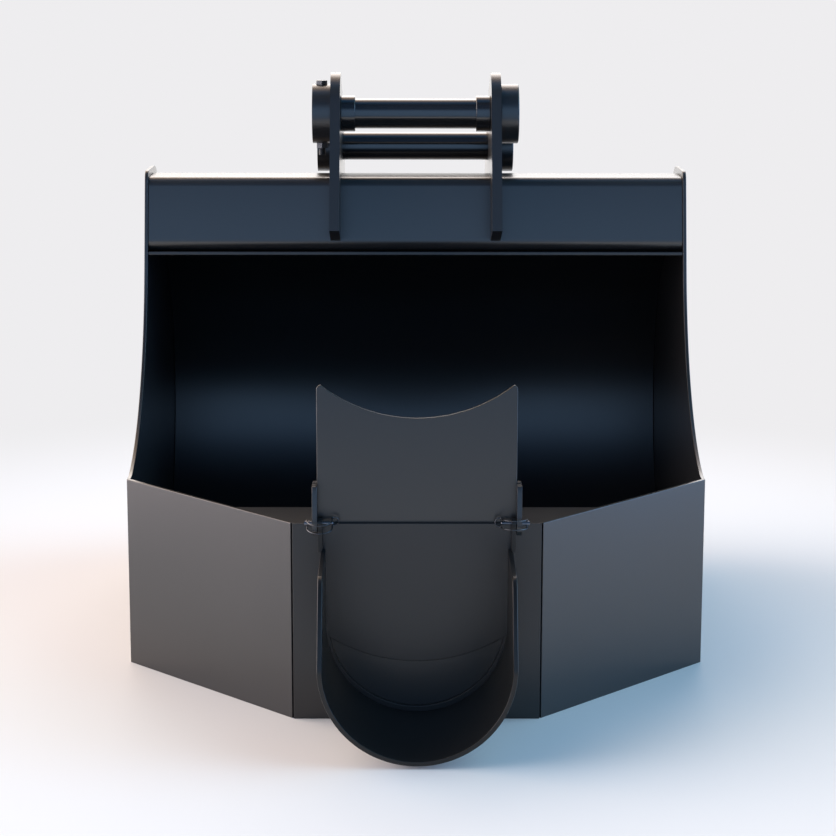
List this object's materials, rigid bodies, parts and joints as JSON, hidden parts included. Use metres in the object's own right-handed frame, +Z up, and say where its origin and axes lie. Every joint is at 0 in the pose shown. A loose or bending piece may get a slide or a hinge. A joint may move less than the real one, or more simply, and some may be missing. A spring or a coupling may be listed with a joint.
{
  "type": "concrete pouring bucket",
  "caption": "Digger bucket for pouring concrete: a wide scoop with a folded-in front, a sliding gate over a round outlet and a hanging trough chute.",
  "frame": {"origin": "middle of the bounding box in plan, on the ground plane under the bucket's flat bottom", "axes": "+Z up as the bucket stands, +Y from the pouring chute at the front towards the scoop's heel at the back, +X to the right of someone facing the chute, along the hanger pins"},
  "size_m": [0.9154, 1.2846, 0.911],
  "materials": {
    "bucket_paint": "satin charcoal paint, even, over sheet steel",
    "hanger_paint": "satin charcoal paint, a little smoother, over thick plate and tube",
    "gate_paint": "satin charcoal paint on the gate plate",
    "chute_paint": "satin charcoal paint on the rolled chute",
    "pin_steel": "smooth dark coating on turned steel pins",
    "fastener_steel": "dark zinc plated bolts and nuts",
    "lock_steel": "plated steel lock pins",
    "wire_steel": "plated spring wire"
  },
  "bodies": {
    "bucket": {"centre_panel": "bucket_paint", "wing_left": "bucket_paint", "wing_right": "bucket_paint", "front_floor": "bucket_paint", "deck_plate": "bucket_paint", "side_plate_left": "bucket_paint", "side_plate_right": "bucket_paint", "wrapper_shell": "bucket_paint", "top_beam": "hanger_paint", "hanger_ear_left": "hanger_paint", "hanger_ear_right": "hanger_paint", "dipper_collar_left": "hanger_paint", "dipper_collar_right": "hanger_paint", "dipper_spacer_left": "pin_steel", "dipper_spacer_right": "pin_steel", "link_collar_left": "hanger_paint", "link_collar_right": "hanger_paint", "dipper_pin": "pin_steel", "link_pin": "pin_steel", "dipper_pin_bolt": "fastener_steel", "dipper_pin_nut": "fastener_steel", "link_pin_bolt": "fastener_steel", "link_pin_nut": "fastener_steel", "gate_rail_left": "bucket_paint", "gate_rail_right": "bucket_paint", "gate_guide_left": "bucket_paint", "gate_guide_right": "bucket_paint", "chute_lug_left": "bucket_paint", "chute_lug_right": "bucket_paint"},
    "gate": {"gate_plate": "gate_paint"},
    "chute": {"chute_half_left": "chute_paint", "chute_half_right": "chute_paint", "chute_ear_left": "chute_paint", "chute_ear_right": "chute_paint"},
    "lock_left": {"lock_pin_left": "lock_steel"},
    "lock_right": {"lock_pin_right": "lock_steel"},
    "wire_left": {"lock_wire_left": "wire_steel"},
    "wire_right": {"lock_wire_right": "wire_steel"}
  },
  "joints": [
    {"name": "gate_slide", "type": "slide", "parent": "bucket", "child": "gate", "axis": [0, 0, 1], "range_m": [0, 0.15]},
    {"name": "chute_swing", "type": "hinge", "parent": "bucket", "child": "chute", "pos_m": [0, -0.43175, 0.305], "axis": [-1, 0, 0], "range_deg": [0, 30]},
    {"name": "lock_left_pull", "type": "slide", "parent": "chute", "child": "lock_left", "axis": [-1, 0, 0], "range_m": [0, 0.04]},
    {"name": "lock_right_pull", "type": "slide", "parent": "chute", "child": "lock_right", "axis": [1, 0, 0], "range_m": [0, 0.04]},
    {"name": "wire_left_open", "type": "hinge", "parent": "lock_left", "child": "wire_left", "pos_m": [-0.1616, -0.43175, 0.305], "axis": [0, 0.2419, -0.9703], "range_deg": [0, 120.5]},
    {"name": "wire_right_open", "type": "hinge", "parent": "lock_right", "child": "wire_right", "pos_m": [0.1616, -0.43175, 0.305], "axis": [0, 0.0698, 0.9976], "range_deg": [0, 120.5]}
  ],
  "couplings": [
    {"joint": "wire_left_open", "follows": "lock_left_pull", "rad_per_m": 52.36},
    {"joint": "wire_right_open", "follows": "lock_right_pull", "rad_per_m": 52.36}
  ]
}
